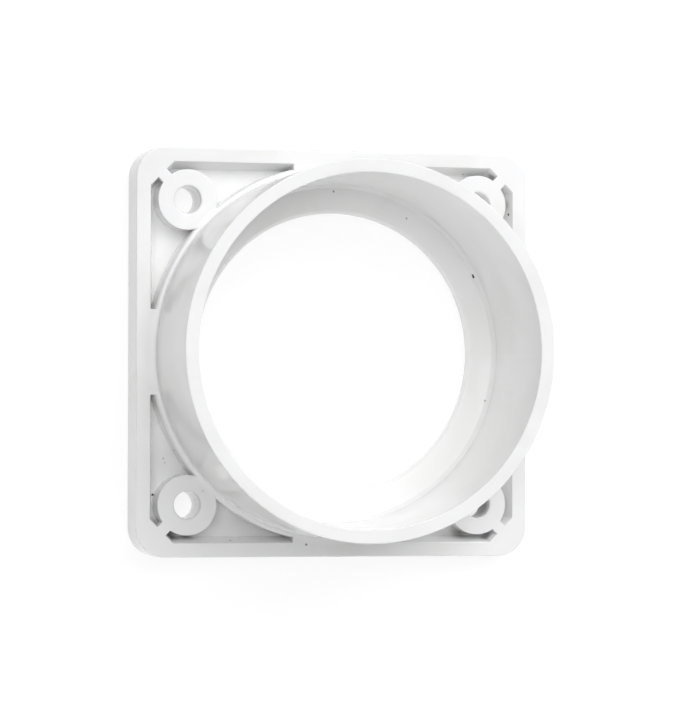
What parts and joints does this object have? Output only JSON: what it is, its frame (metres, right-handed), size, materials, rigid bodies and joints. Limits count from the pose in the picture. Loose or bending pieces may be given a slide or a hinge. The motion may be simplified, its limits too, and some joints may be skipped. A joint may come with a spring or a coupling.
{
  "type": "vacuum flange",
  "caption": "Square moulded plastic flange that screws to a vacuum's tank or a flat panel and takes the hose cuff in a round tapered collar.",
  "frame": {"origin": "middle of the mounting plate's back face, on the collar's axis", "axes": "+Z along the collar's axis, out of its mouth; X and Y run square to the plate's sides"},
  "size_m": [0.0762, 0.0762, 0.0311],
  "materials": {
    "flange": "white injection-moulded plastic, smooth gloss as it left the mould"
  },
  "bodies": {
    "root": {"flange": "flange"}
  },
  "joints": []
}
